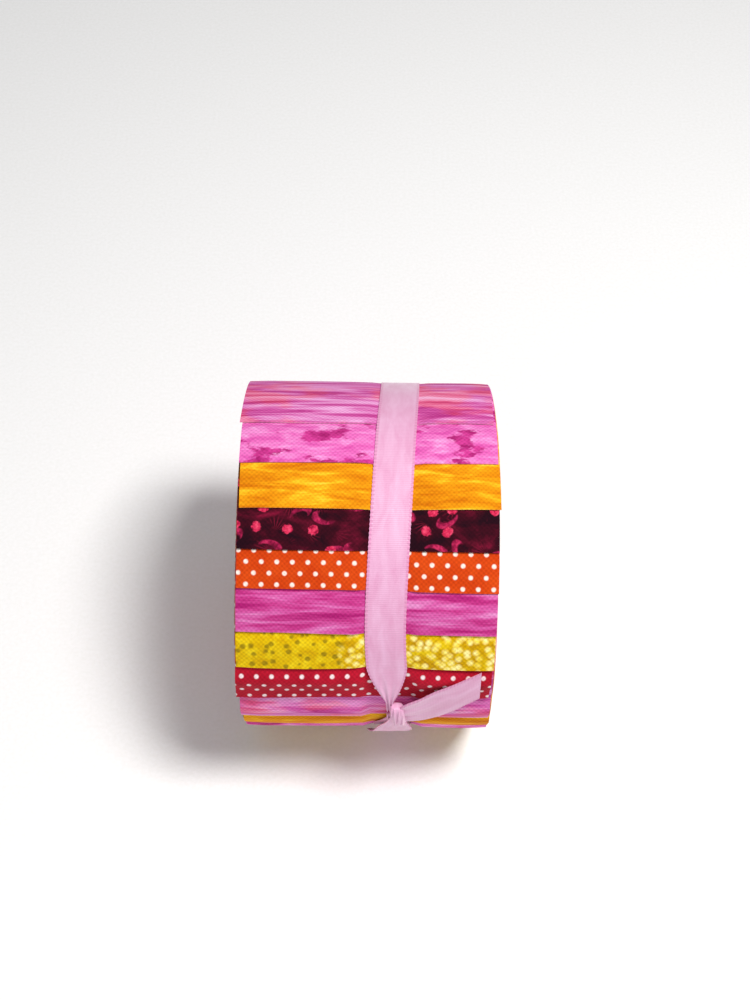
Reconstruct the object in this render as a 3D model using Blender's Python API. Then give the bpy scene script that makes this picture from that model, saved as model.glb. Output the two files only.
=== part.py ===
"""A roll of printed cotton strips, lying on its side and tied with a satin ribbon.

Twenty strips are piled up and rolled together. Each strip in the pile ends a little further round
than the one above it, so the ends lie like shingles round the roll and every fabric shows as a band.

Frame: +X along the roll's axis, +Z up, the front at -Y. The origin is on the surface that the roll
rests on, straight below the middle of its axis. Angles round the roll are in degrees: 0 is the front,
90 the top, 180 the back and -90 the bottom. The strips are wound towards smaller angles.
"""

import math
from collections import namedtuple

import bmesh
import bpy
import numpy as np

# Driving sizes in metres
STRIP_WIDTH = 0.0635
ROLL_RADIUS = 0.0465
SHEET = 0.0010
GAP = 0.0003
FLAT_DEPTH = 0.0013
RIBBON_WIDTH = 0.0100
PILE_PITCH = 0.0060

# How the roll departs from a true cylinder
UNEVEN = 0.0003
OVAL_DEG = 60.0
LOBE_DEG = 13.0
FLOOR_DEG = -90.0

# Sizes that follow from them
LAYER = SHEET + GAP
AXIS_HEIGHT = ROLL_RADIUS - FLAT_DEPTH

# How a strip dips under the free end of the strip above it, as arcs on the roll
DIP_ARC = 0.0055
HIDDEN_ARC = 0.0080
LIFT_ARC = 0.0060

# Steps round the roll: the longest step in degrees, and the steps down a dip
FINE_STEP = 3.2
COARSE_STEP = 5.0
DIP_STEPS = 3
SHORTEST_STEP = 0.4

Strip = namedtuple("Strip", "fabric end_deg shift_mm skew_mm lift_mm")
STRIPS = (
    Strip("rose_streak", 99.0, -0.7, 0.3, 0.1),
    Strip("pink_mottle", 82.9, -0.1, 0.2, 0.0),
    Strip("amber_streak", 68.1, 0.4, -0.2, 0.1),
    Strip("burgundy_leaf", 55.6, 0.0, 0.0, 0.0),
    Strip("orange_dot", 43.7, 0.0, 0.1, 0.2),
    Strip("magenta_streak", 29.9, -0.2, 0.1, 0.1),
    Strip("yellow_spot", 17.4, -0.4, -0.3, 0.3),
    Strip("crimson_dot", 2.8, -1.0, -0.4, 0.8),
    Strip("rose_streak", -10.0, -0.3, 0.5, 0.2),
    Strip("amber_streak", -21.5, 0.6, -0.4, 0.2),
    Strip("pink_mottle", -33.5, 0.2, 0.3, 0.1),
    Strip("burgundy_leaf", -45.5, -0.5, 0.1, 0.0),
    Strip("yellow_spot", -57.0, 0.3, -0.2, 0.0),
    Strip("magenta_streak", -68.6, -0.2, 0.2, 0.0),
    Strip("orange_dot", -80.1, 0.5, 0.0, 0.0),
    Strip("crimson_dot", -93.2, -0.4, 0.3, 0.0),
    Strip("amber_streak", -106.3, 0.1, -0.3, 0.0),
    Strip("rose_streak", -119.4, 0.4, 0.2, 0.1),
    Strip("burgundy_leaf", -132.5, -0.3, -0.1, 0.2),
    Strip("yellow_spot", -146.0, 0.2, 0.4, 0.3),
)

# Colours as a screen shows them, from 0 to 1
SCREEN_GAMMA = 2.2
Finish = namedtuple("Finish", "red green blue roughness")
FINISHES = {
    "rose_streak": Finish(0.76, 0.30, 0.50, 0.85),
    "pink_mottle": Finish(0.88, 0.42, 0.68, 0.85),
    "amber_streak": Finish(0.95, 0.63, 0.07, 0.85),
    "burgundy_leaf": Finish(0.24, 0.02, 0.09, 0.85),
    "orange_dot": Finish(0.86, 0.30, 0.09, 0.85),
    "magenta_streak": Finish(0.79, 0.24, 0.53, 0.85),
    "yellow_spot": Finish(0.90, 0.75, 0.09, 0.85),
    "crimson_dot": Finish(0.64, 0.11, 0.20, 0.85),
    "wound_cotton": Finish(0.78, 0.36, 0.42, 0.90),
    "satin_ribbon": Finish(0.95, 0.70, 0.78, 0.35),
}

# The ribbon's middle round the roll, and where it is tied
RibbonPoint = namedtuple("RibbonPoint", "angle_deg across_mm")
RIBBON_COURSE = (
    RibbonPoint(3.0, 5.9),
    RibbonPoint(28.0, 4.5),
    RibbonPoint(53.0, 4.9),
    RibbonPoint(71.0, 5.6),
    RibbonPoint(90.0, 6.4),
    RibbonPoint(112.0, 7.4),
    RibbonPoint(180.0, 8.6),
    RibbonPoint(270.0, 8.6),
)
KNOT_DEG = -3.0
KNOT_ACROSS = 0.0078
KNOT_HALF = (0.0025, 0.0042, 0.0021)
KNOT_SQUARENESS = 0.8
KNOT_SINK = 0.0002
GATHER_ARC = 0.0100
GATHERED_HALF = 0.0018
GATHERED_THICK = 0.0016
NEAR_KNOT_DEG = 30
NEAR_KNOT_STEP = 3
LOOP_STEP = 5

# How far the ribbon presses into the cloth, and how that fades out beside it and away from the floor
BED_LIGHT = 0.0004
BED_FLAT = 0.0003
BED_FADE = 0.0024
BED_FULL_DEG = 22.0
BED_FADE_DEG = 26.0

# The ribbon's free ends: each row is a line across the tail, between a point on each of its edges
TailRow = namedtuple("TailRow", "first_mm first_deg second_mm second_deg height_mm")
RIGHT_TAIL = (
    TailRow(7.4, 0.4, 7.4, -6.0, 1.6),
    TailRow(10.2, 4.0, 10.2, -8.2, 1.5),
    TailRow(13.4, 6.4, 13.4, -7.4, 1.4),
    TailRow(17.0, 9.8, 17.0, -4.8, 1.5),
    TailRow(21.0, 12.6, 21.0, -1.4, 1.8),
    TailRow(25.0, 16.0, 25.0, 3.9, 2.2),
    TailRow(28.2, 18.4, 28.2, 7.2, 2.6),
)
LOWER_TAIL = (
    TailRow(9.4, -6.0, 6.2, -6.0, 1.6),
    TailRow(11.0, -11.0, 5.0, -10.6, 1.5),
    TailRow(12.0, -17.5, 3.2, -16.5, 1.3),
    TailRow(11.9, -25.0, 2.1, -23.5, 1.2),
    TailRow(11.0, -33.0, 1.2, -30.5, 1.2),
    TailRow(10.0, -40.5, 0.4, -37.0, 1.3),
)
TAIL_ACROSS_STEPS = 3

# The spiral groove that shows the pile's turns on each end of the roll
GROOVE_WIDTH = 0.0007
GROOVE_DEPTH = 0.0030
GROOVE_INNER_RADIUS = 0.0055
GROOVE_RIM = 0.0030
GROOVE_STEPS_A_TURN = 26


def clear_scene():
    for old in list(bpy.data.objects):
        bpy.data.objects.remove(old)


def smooth(x):
    """A step from 0 to 1 that starts and ends level."""
    x = np.clip(x, 0.0, 1.0)
    return x * x * (3.0 - 2.0 * x)


def arc_deg(length):
    """The angle, in degrees, that an arc of this length takes on the roll."""
    return math.degrees(length / ROLL_RADIUS)


def outline(deg):
    """The roll's outer radius: nearly round, a little lumpy, and flat where it rests on the floor."""
    deg = np.asarray(deg, float)
    oval = np.cos(np.radians(2 * (deg - OVAL_DEG)))
    lobes = np.cos(np.radians(5 * (deg - LOBE_DEG)))
    free = ROLL_RADIUS + UNEVEN * (oval + lobes)
    towards_floor = np.cos(np.radians(deg - FLOOR_DEG))
    floor = AXIS_HEIGHT / np.where(towards_floor > 0.2, towards_floor, 0.2)
    return np.minimum(free, floor)


def ribbon_middle(deg):
    """Where the ribbon's middle lies along the axis: a smooth closed curve through the course's points."""
    angles = np.array([p.angle_deg for p in RIBBON_COURSE])
    across = np.array([p.across_mm for p in RIBBON_COURSE]) / 1000
    angles = np.concatenate([angles - 360, angles, angles + 360])
    across = np.tile(across, 3)
    slope = np.gradient(across, angles)
    deg = np.asarray(deg, float) % 360
    at = np.clip(np.searchsorted(angles, deg) - 1, 0, len(angles) - 2)
    span = angles[at + 1] - angles[at]
    t = (deg - angles[at]) / span
    return (
        across[at] * (1 + 2 * t) * (1 - t) ** 2
        + slope[at] * span * t * (1 - t) ** 2
        + across[at + 1] * t * t * (3 - 2 * t)
        + slope[at + 1] * span * t * t * (t - 1)
    )


def off_floor_deg(deg):
    """How far an angle is from the bottom of the roll."""
    return np.abs((np.asarray(deg, float) - FLOOR_DEG + 180) % 360 - 180)


def bed_depth(deg):
    """How deep the ribbon lies in the cloth: lightly all round, and flush where the roll rests."""
    near_floor = 1 - smooth((off_floor_deg(deg) - BED_FULL_DEG) / BED_FADE_DEG)
    return BED_LIGHT + (LAYER - BED_LIGHT) * near_floor


def pressed(deg, across):
    """How far the ribbon presses the cloth in at one place along the axis."""
    beside = np.abs(across - ribbon_middle(deg)) - RIBBON_WIDTH / 2 - BED_FLAT
    return bed_depth(deg) * (1 - smooth(beside / BED_FADE))


def place(deg, radius, across):
    """Points at these angles, radii and places along the axis."""
    deg, radius, across = np.broadcast_arrays(deg, radius, across)
    turn = np.radians(deg)
    return np.stack([across, -radius * np.cos(turn), AXIS_HEIGHT + radius * np.sin(turn)], axis=-1)


def end_of(index):
    """The angle of a strip's free end. Past the last strip the count starts again, a turn further back."""
    turns, row = divmod(index, len(STRIPS))
    return STRIPS[row].end_deg - 360 * turns


def dip(index, deg):
    """How far, in layers, the strip of this index has gone down where it reaches the angle deg."""
    down = np.zeros_like(np.asarray(deg, float))
    for passed in (index - 1, index - 2):
        start = end_of(passed) - arc_deg(DIP_ARC)
        down = down + smooth((deg - start) / arc_deg(DIP_ARC))
    return down


def steps(start, stop):
    """Angles from start to stop, close together over a short stretch and further apart over a long one."""
    step = FINE_STEP if stop - start < 20 else COARSE_STEP
    return np.linspace(start, stop, max(1, math.ceil((stop - start) / step)) + 1)


def shared_angles():
    """Angles where every layer has its rows, so that facing layers are cut into the same facets."""
    rows = []
    for index in range(1, len(STRIPS) + 1):
        stop = end_of(index - 1)
        dip_start = stop - arc_deg(DIP_ARC)
        rows.append(steps(end_of(index), dip_start)[:-1])
        rows.append(np.linspace(dip_start, stop, DIP_STEPS + 1)[:-1])
    one_turn = np.concatenate(rows)
    return np.sort(np.concatenate([one_turn, one_turn + 360]))


def rows_between(start, stop):
    """The shared angles between two places, with the places themselves."""
    shared = shared_angles()
    inside = (shared > start + SHORTEST_STEP) & (shared < stop - SHORTEST_STEP)
    return np.concatenate([[start], shared[inside], [stop]])


def across_lines(deg, left, right):
    """Places along the axis: the two edges, and the lines where the ribbon's bed begins and ends."""
    middle = ribbon_middle(deg)
    flat = RIBBON_WIDTH / 2 + BED_FLAT
    lines = [left, middle - flat - BED_FADE, middle - flat, middle + flat, middle + flat + BED_FADE, right]
    return np.stack([np.broadcast_to(line, np.shape(deg)) for line in lines], axis=1)


def new_object(name, vertices, faces, material):
    """A closed mesh as an object, with its faces pointing out."""
    mesh = bpy.data.meshes.new(name)
    mesh.from_pydata([tuple(v) for v in vertices], [], [tuple(f) for f in faces])
    tidy = bmesh.new()
    tidy.from_mesh(mesh)
    bmesh.ops.recalc_face_normals(tidy, faces=tidy.faces)
    tidy.to_mesh(mesh)
    tidy.free()
    made = bpy.data.objects.new(name, mesh)
    bpy.context.scene.collection.objects.link(made)
    mesh.shade_smooth()
    mesh.set_sharp_from_angle(angle=math.radians(35))
    mesh.materials.append(material)
    return made


def shell(name, outer, inner, material):
    """A closed sheet between two grids of points of the same size."""
    rows, columns = outer.shape[:2]
    count = rows * columns
    number = np.arange(count).reshape(rows, columns)
    faces = []
    for i in range(rows - 1):
        for j in range(columns - 1):
            quad = [number[i, j], number[i + 1, j], number[i + 1, j + 1], number[i, j + 1]]
            faces.append(quad)
            faces.append([q + count for q in reversed(quad)])
    rim = list(number[:-1, 0]) + list(number[-1, :-1]) + list(number[:0:-1, -1]) + list(number[0, :0:-1])
    for a, b in zip(rim, rim[1:] + rim[:1]):
        faces.append([a, a + count, b + count, b])
    points = np.concatenate([outer.reshape(-1, 3), inner.reshape(-1, 3)])
    return new_object(name, points, faces, material)


def finish(name):
    """A matt or satin surface in one plain colour."""
    look = FINISHES[name]
    made = bpy.data.materials.new(name)
    made.use_nodes = True
    shader = made.node_tree.nodes["Principled BSDF"]
    linear = [channel**SCREEN_GAMMA for channel in look[:3]]
    shader.inputs["Base Color"].default_value = (*linear, 1)
    shader.inputs["Roughness"].default_value = look.roughness
    shader.inputs["Metallic"].default_value = 0.0
    made.diffuse_color = (look.red, look.green, look.blue, 1)
    return made


def make_strip(index, material):
    """The outer lap of one strip: a curved sheet that lies over the next strip and dips under the last."""
    strip = STRIPS[index]
    deg = rows_between(end_of(index), end_of(index - 1) + arc_deg(HIDDEN_ARC - GAP))
    along = (deg - deg[0]) / (deg[-1] - deg[0])
    shift = (strip.shift_mm + strip.skew_mm * (along - 0.5)) / 1000
    across = across_lines(deg, shift - STRIP_WIDTH / 2, shift + STRIP_WIDTH / 2)
    deg = deg[:, None]
    press = pressed(deg, across)
    from_end = np.radians(deg - strip.end_deg) * ROLL_RADIUS
    free = 1 - press / bed_depth(deg)
    lift = strip.lift_mm / 1000 * np.clip(1 - from_end / LIFT_ARC, 0, 1) ** 2 * free
    radius = outline(deg) - press - LAYER * dip(index, deg) + lift
    return shell(
        f"strip_{index + 1:02d}",
        place(deg, radius, across),
        place(deg, radius - SHEET, across),
        material,
    )


def turns_outline():
    """Angles round the inner turns, and their depth in layers below the roll's outline.

    Each strip's outer lap comes away from the turns at a step, where two rows share one angle.
    """
    angles, depths = [], []
    for index in range(len(STRIPS), 0, -1):
        start, stop = end_of(index), end_of(index - 1)
        joins = start + arc_deg(HIDDEN_ARC)
        for deg, layers in ((rows_between(start, joins), 2), (rows_between(joins, stop)[:-1], 1)):
            angles.append(deg)
            depths.append(dip(index, deg) + layers)
    return np.concatenate(angles), np.concatenate(depths)


def groove_cutter(side):
    """A spiral wall that cuts the pile's turns into one end of the inner turns. side is -1 or 1."""
    deepest = ROLL_RADIUS - 3 * LAYER
    turns = (deepest - GROOVE_RIM - GROOVE_INNER_RADIUS) / PILE_PITCH
    t = np.linspace(0, 1, math.ceil(turns * GROOVE_STEPS_A_TURN) + 1)
    deg = (STRIPS[-1].end_deg - 360 * turns * t)[:, None]
    radius = (GROOVE_INNER_RADIUS + PILE_PITCH * turns * t)[:, None]
    across = side * (STRIP_WIDTH / 2 + np.array([[-GROOVE_DEPTH, GROOVE_DEPTH]]))
    half = GROOVE_WIDTH / 2
    cutter = shell(
        f"groove_cutter_{'left' if side < 0 else 'right'}",
        place(deg, radius + half, across),
        place(deg, radius - half, across),
        bpy.data.materials["wound_cotton"],
    )
    cutter.hide_render = True
    cutter.display_type = "WIRE"
    return cutter


def make_inner_turns(material):
    """The wound turns inside the outer laps, as one solid with the pile's spiral cut into both ends."""
    deg, layers = turns_outline()
    half = STRIP_WIDTH / 2
    across = across_lines(deg, -half, half)
    deg = deg[:, None]
    radius = outline(deg) - pressed(deg, across) - LAYER * layers[:, None]
    points = place(deg, radius, across)
    rows, columns = across.shape
    number = np.arange(rows * columns).reshape(rows, columns)
    after = np.roll(number, -1, axis=0)
    faces = [list(number[:, 0]), list(number[::-1, -1])]
    for i in range(rows):
        for j in range(columns - 1):
            faces.append([number[i, j], after[i, j], after[i, j + 1], number[i, j + 1]])
    turns = new_object("inner_turns", points.reshape(-1, 3), faces, material)
    for side in (-1, 1):
        cut = turns.modifiers.new("spiral", "BOOLEAN")
        cut.operation = "DIFFERENCE"
        cut.object = groove_cutter(side)


def ribbon_loop(material):
    """The ribbon round the roll: a flat band that narrows and thickens as it is gathered into the knot."""
    near, far = NEAR_KNOT_DEG, 360 - NEAR_KNOT_DEG
    above_knot, below_knot = np.arange(0, near, NEAR_KNOT_STEP), np.arange(far, 360, NEAR_KNOT_STEP)
    deg = np.concatenate([above_knot, np.arange(near, far, LOOP_STEP), below_knot])
    from_knot = np.radians(np.minimum(deg - KNOT_DEG, 360 - deg + KNOT_DEG)) * ROLL_RADIUS
    gathered = 1 - smooth((from_knot - KNOT_HALF[1] / 2) / GATHER_ARC)
    half = RIBBON_WIDTH / 2 + (GATHERED_HALF - RIBBON_WIDTH / 2) * gathered
    thick = SHEET + (GATHERED_THICK - SHEET) * gathered
    middle = ribbon_middle(deg)
    under = outline(deg) - bed_depth(deg) + GAP
    corners = [
        place(deg, under, middle - half),
        place(deg, under, middle + half),
        place(deg, under + thick, middle + half),
        place(deg, under + thick, middle - half),
    ]
    points = np.stack(corners, axis=1)
    rows = len(deg)
    number = np.arange(rows * 4).reshape(rows, 4)
    after = np.roll(number, -1, axis=0)
    faces = [
        [number[i, j], after[i, j], after[i, (j + 1) % 4], number[i, (j + 1) % 4]]
        for i in range(rows)
        for j in range(4)
    ]
    return new_object("ribbon_tie", points.reshape(-1, 3), faces, material)


def knot_lump(material):
    """The tight knot: a rounded cushion that sits on the band with its flat side towards the cloth."""
    lump = bmesh.new()
    bmesh.ops.create_uvsphere(lump, u_segments=16, v_segments=10, radius=1.0)
    grid = np.array([v.co for v in lump.verts])
    faces = [[v.index for v in f.verts] for f in lump.faces]
    lump.free()
    squared = np.sign(grid) * np.abs(grid) ** KNOT_SQUARENESS
    floor = float(outline(KNOT_DEG)) - BED_LIGHT + GAP + KNOT_SINK
    across = KNOT_ACROSS + squared[:, 0] * KNOT_HALF[0]
    deg = KNOT_DEG + np.degrees(squared[:, 1] * KNOT_HALF[1] / ROLL_RADIUS)
    radius = floor + (1 + squared[:, 2]) * KNOT_HALF[2]
    return new_object("knot_lump", place(deg, radius, across), faces, material)


def tail(name, rows, material):
    """A free end of the ribbon: a sheet through its cross lines, a little above the cloth."""
    first_mm, first_deg, second_mm, second_deg, height_mm = np.array(rows).T[:, :, None]
    share = np.linspace(0, 1, TAIL_ACROSS_STEPS + 1)[None, :]
    across = (first_mm + (second_mm - first_mm) * share) / 1000
    deg = first_deg + (second_deg - first_deg) * share
    radius = outline(deg) + height_mm / 1000
    return shell(name, place(deg, radius + SHEET, across), place(deg, radius, across), material)


def make_ribbon(material):
    """The one ribbon, with its knot and both free ends joined to the loop."""
    loop = ribbon_loop(material)
    for piece in (
        knot_lump(material),
        tail("right_tail", RIGHT_TAIL, material),
        tail("lower_tail", LOWER_TAIL, material),
    ):
        piece.hide_render = True
        piece.display_type = "WIRE"
        join = loop.modifiers.new(piece.name, "BOOLEAN")
        join.operation = "UNION"
        join.object = piece
    return loop


def main():
    clear_scene()
    finishes = {name: finish(name) for name in FINISHES}
    for index, strip in enumerate(STRIPS):
        make_strip(index, finishes[strip.fabric])
    make_inner_turns(finishes["wound_cotton"])
    make_ribbon(finishes["satin_ribbon"])


main()
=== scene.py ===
# %% [markdown]
# # A roll of cotton strips, tied with a ribbon
#
# Twenty strips of printed cotton are laid in a pile, rolled up together and tied with a satin ribbon.
# Each strip is one long sheet of cloth, so each is made here as one sheet, from its free end on the
# outside, round and round, to its other end near the middle.
#
# The roll lies on its side along X. Angles round it are in degrees: 0 is the front, 90 the top,
# 180 the back and -90 the floor. Sizes are in metres, and the cloth's own UV map is in millimetres.

import math
from collections import namedtuple

import bpy
import numpy as np
from mathutils import Matrix, Vector


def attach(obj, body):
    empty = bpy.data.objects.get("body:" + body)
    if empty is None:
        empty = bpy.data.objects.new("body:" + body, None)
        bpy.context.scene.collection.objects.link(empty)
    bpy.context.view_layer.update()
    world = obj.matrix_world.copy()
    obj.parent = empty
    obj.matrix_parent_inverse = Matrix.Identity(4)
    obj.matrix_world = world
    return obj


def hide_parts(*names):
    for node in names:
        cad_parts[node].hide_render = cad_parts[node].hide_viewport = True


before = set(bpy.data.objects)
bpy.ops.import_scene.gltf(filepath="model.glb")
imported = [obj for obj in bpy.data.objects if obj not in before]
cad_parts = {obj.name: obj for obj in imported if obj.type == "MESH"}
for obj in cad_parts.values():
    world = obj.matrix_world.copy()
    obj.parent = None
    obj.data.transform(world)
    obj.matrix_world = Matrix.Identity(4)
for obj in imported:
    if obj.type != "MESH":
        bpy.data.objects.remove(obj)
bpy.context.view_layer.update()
print("CAD nodes:", len(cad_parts))

# %% [markdown]
# ## The sizes of the roll
#
# The strips are 2.5 inches wide and as long as the cloth was wide, 44 inches. A layer of quilting
# cotton is about a quarter of a millimetre thick. Rolled by hand, it takes a little more room.

# %% Sizes
MM = 0.001
STRIP_WIDTH = 0.0635
STRIP_LENGTH = 1.118
COTTON = 0.00025
LAYER = 0.00030
ROLL_RADIUS = 0.0465
AXIS_HEIGHT = 0.0452
FLOOR_DEG = -90.0

Strip = namedtuple("Strip", "fabric end_deg shift_mm slant_mm lift_mm bulge_mm bulge_at_mm print_mm")
STRIPS = (
    Strip("rose_streak", 99.0, -0.7, -0.6, 0.30, 0.00, 5.0, (0.0, 0.0)),
    Strip("pink_mottle", 82.9, -0.1, -0.4, 0.30, 0.05, 5.0, (-7.0, 60.0)),
    Strip("amber_streak", 68.1, 0.4, -0.2, 0.32, 0.10, 5.0, (7.0, 20.0)),
    Strip("burgundy_leaf", 55.6, 0.0, 0.25, 0.35, 0.10, 5.0, (0.0, 40.0)),
    Strip("orange_dot", 43.7, 0.0, 0.76, 0.45, 0.15, 5.0, (0.0, 0.78)),
    Strip("magenta_streak", 30.1, -0.2, 0.43, 0.60, 0.30, 5.2, (0.0, 90.0)),
    Strip("yellow_spot", 17.6, -0.4, 0.0, 0.50, 0.25, 5.5, (0.0, 0.0)),
    Strip("crimson_dot", 2.8, -1.0, -0.5, 0.55, 1.10, 7.2, (-1.1, 0.8)),
    Strip("rose_streak", -10.0, -0.3, 0.3, 0.45, 1.00, 4.0, (5.0, 210.0)),
    Strip("amber_streak", -21.5, 0.2, -0.3, 0.30, 0.65, 5.0, (4.0, 330.0)),
    Strip("pink_mottle", -33.5, 0.2, 0.2, 0.20, 0.55, 5.0, (9.0, 420.0)),
    Strip("burgundy_leaf", -45.5, -0.5, 0.1, 0.05, 0.00, 5.0, (6.0, 500.0)),
    Strip("yellow_spot", -57.0, 0.3, -0.2, 0.05, 0.00, 5.0, (11.0, 300.0)),
    Strip("magenta_streak", -68.6, -0.2, 0.2, 0.00, 0.00, 5.0, (2.0, 640.0)),
    Strip("orange_dot", -80.1, 0.5, 0.0, 0.00, 0.00, 5.0, (1.1, 0.7)),
    Strip("crimson_dot", -93.2, -0.4, 0.3, 0.00, 0.00, 5.0, (0.4, 2.1)),
    Strip("amber_streak", -106.3, 0.1, -0.3, 0.00, 0.00, 5.0, (8.0, 710.0)),
    Strip("rose_streak", -119.4, 0.4, 0.2, 0.05, 0.05, 5.0, (3.0, 800.0)),
    Strip("burgundy_leaf", -132.5, -0.3, -0.1, 0.10, 0.10, 5.0, (2.0, 860.0)),
    Strip("yellow_spot", -146.0, 0.2, 0.4, 0.20, 0.15, 5.0, (5.0, 930.0)),
)


def smooth(x):
    """A step from 0 to 1 that starts and ends level: three times x squared, less two times x cubed."""
    x = np.clip(x, 0.0, 1.0)
    return x * x * (3.0 - 2.0 * x)


def arc_deg(length):
    """The angle in degrees that this length takes on the outside of the roll."""
    return math.degrees(length / ROLL_RADIUS)


print(f"{len(STRIPS)} strips, {STRIP_WIDTH * 1000:.1f} x {STRIP_LENGTH * 1000:.0f} mm each")

# %% [markdown]
# ## The camera
#
# The camera comes first, because every later choice is judged through it. It stands where the
# photographer did, in front of the roll and high up. It is turned a hair about its own line of
# sight, as a hand-held camera is, and it looks slightly past the roll, which puts the roll a little
# below the middle of the picture without shifting the lens.

# %% Camera
CAMERA_DISTANCE = 0.4185
CAMERA_ELEVATION = math.radians(55.0)
CAMERA_ROLL = math.radians(0.75)
FOCAL_PIXELS = 1544.0
PICTURE_HEIGHT = 1000.0
ROLL_OFFSET_PIXELS = (-7.0, -53.0)


def look_at_roll(camera):
    """Places the camera: it looks from its distance and height to the roll's axis, a few pixels off centre."""
    toward = Vector((0.0, math.cos(CAMERA_ELEVATION), -math.sin(CAMERA_ELEVATION)))
    level = Vector((1.0, 0.0, 0.0))
    above = level.cross(toward)
    right = level * math.cos(CAMERA_ROLL) + above * math.sin(CAMERA_ROLL)
    up = above * math.cos(CAMERA_ROLL) - level * math.sin(CAMERA_ROLL)
    off_x, off_y = ROLL_OFFSET_PIXELS
    aim = (toward * FOCAL_PIXELS - right * off_x - up * off_y).normalized()
    right = (right - aim * right.dot(aim)).normalized()
    up = right.cross(aim)
    turn = Matrix((right, up, -aim)).transposed()
    stand = Vector((0.0, 0.0, AXIS_HEIGHT)) - toward * CAMERA_DISTANCE
    camera.matrix_world = Matrix.Translation(stand) @ turn.to_4x4()


view_data = bpy.data.cameras.new("camera")
view_data.sensor_width = 36.0
view_data.lens = FOCAL_PIXELS * view_data.sensor_width / PICTURE_HEIGHT
view_data.clip_start = 0.01
camera = bpy.data.objects.new("camera", view_data)
bpy.context.scene.collection.objects.link(camera)
bpy.context.scene.camera = camera
look_at_roll(camera)
print(f"camera: {view_data.lens:.1f} mm lens, {CAMERA_DISTANCE * 1000:.0f} mm from the roll")

# %% [markdown]
# ## The light and the floor
#
# A plain pale floor, a soft lamp high on the right as in the photo, a wide faint lamp on the
# left, and a pale sky that fills the shadows. The edges of the strips stay readable by a thin
# shadow under each.

# %% Light and floor
scene = bpy.context.scene
scene.view_settings.view_transform = "Standard"


def linear(hex_colour):
    """An sRGB hex colour as linear red, green, blue and alpha: each part to the power of about 2.4."""
    parts = np.array([int(hex_colour[i : i + 2], 16) for i in (1, 3, 5)]) / 255.0
    low = parts / 12.92
    high = ((parts + 0.055) / 1.055) ** 2.4
    return (*np.where(parts <= 0.04045, low, high).tolist(), 1.0)


def soft_lamp(name, stand, size, watts, colour):
    """A square lamp of this size that faces the middle of the roll."""
    data = bpy.data.lights.new(name, "AREA")
    data.size = size
    data.energy = watts
    data.color = linear(colour)[:3]
    lamp = bpy.data.objects.new(name, data)
    bpy.context.scene.collection.objects.link(lamp)
    aim = Vector((0.0, 0.0, AXIS_HEIGHT)) - Vector(stand)
    lamp.matrix_world = Matrix.Translation(stand) @ aim.to_track_quat("-Z", "Y").to_matrix().to_4x4()
    return lamp


soft_lamp("key_lamp", (0.25, -0.12, 0.70), 0.20, 4.8, "#FFFDFB")
soft_lamp("fill_lamp", (-0.45, -0.50, 0.40), 0.60, 0.8, "#F8FAFF")
sky = bpy.data.worlds.new("pale_sky")
sky.use_nodes = True
sky.node_tree.nodes["Background"].inputs["Color"].default_value = linear("#F8F9FB")
sky.node_tree.nodes["Background"].inputs["Strength"].default_value = 0.32
scene.world = sky

# %% [markdown]
# One small function adds a node to a material, and every material below is built with it.
# A second adds one step of arithmetic.

# %% Adding a node
FACTOR, COLOUR_A, COLOUR_B, MIXED = 0, 6, 7, 2


def add(tree, kind, inputs=None, stops=(), **settings):
    """Adds one node with its settings. Each input is a value, or the socket that feeds it."""
    node = tree.nodes.new(kind)
    for name, value in settings.items():
        setattr(node, name, value)
    for socket, value in (inputs or {}).items():
        if isinstance(value, bpy.types.NodeSocket):
            tree.links.new(value, node.inputs[socket])
        else:
            node.inputs[socket].default_value = value
    if stops:
        elements = node.color_ramp.elements
        while len(elements) < len(stops):
            elements.new(1.0)
        for element, (position, colour) in zip(elements, stops):
            element.position = position
            element.color = linear(colour)
    return node


def maths(tree, operation, *values, clamp=False):
    """One step of arithmetic on values or sockets."""
    return add(tree, "ShaderNodeMath", dict(enumerate(values)), operation=operation, use_clamp=clamp).outputs[0]


def new_material(name):
    """A material with its node tree and its shader."""
    material = bpy.data.materials.new(name)
    material.use_nodes = True
    return material, material.node_tree, material.node_tree.nodes["Principled BSDF"]


floor_paper, tree, shader = new_material("matt_white_paper")
spot = add(tree, "ShaderNodeTexCoord").outputs["Object"]
fibre = add(tree, "ShaderNodeTexNoise", {"Vector": spot, "Scale": 900.0, "Detail": 2.0}).outputs["Fac"]
tint = add(tree, "ShaderNodeValToRGB", {"Fac": fibre}, [(0.3, "#FAFAF9"), (0.7, "#FFFFFF")])
tree.links.new(tint.outputs["Color"], shader.inputs["Base Color"])
shader.inputs["Roughness"].default_value = 0.9

FLOOR_HALF = 1.5
floor_mesh = bpy.data.meshes.new("floor")
corners = [(x * FLOOR_HALF, y * FLOOR_HALF, 0) for x, y in ((-1, -1), (1, -1), (1, 1), (-1, 1))]
floor_mesh.from_pydata(corners, [], [(0, 1, 2, 3)])
floor_mesh.materials.append(floor_paper)
floor = bpy.data.objects.new("floor", floor_mesh)
scene.collection.objects.link(floor)
print("floor and lamps are in place")

# %% [markdown]
# ## The shape of the roll
#
# Cloth rolled by hand is never quite round. The outside is a little oval, has faint lobes, and is
# flat where it rests. The ribbon presses a shallow bed into it. All layers follow the same
# unevenness, so they lie on each other everywhere.

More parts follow.
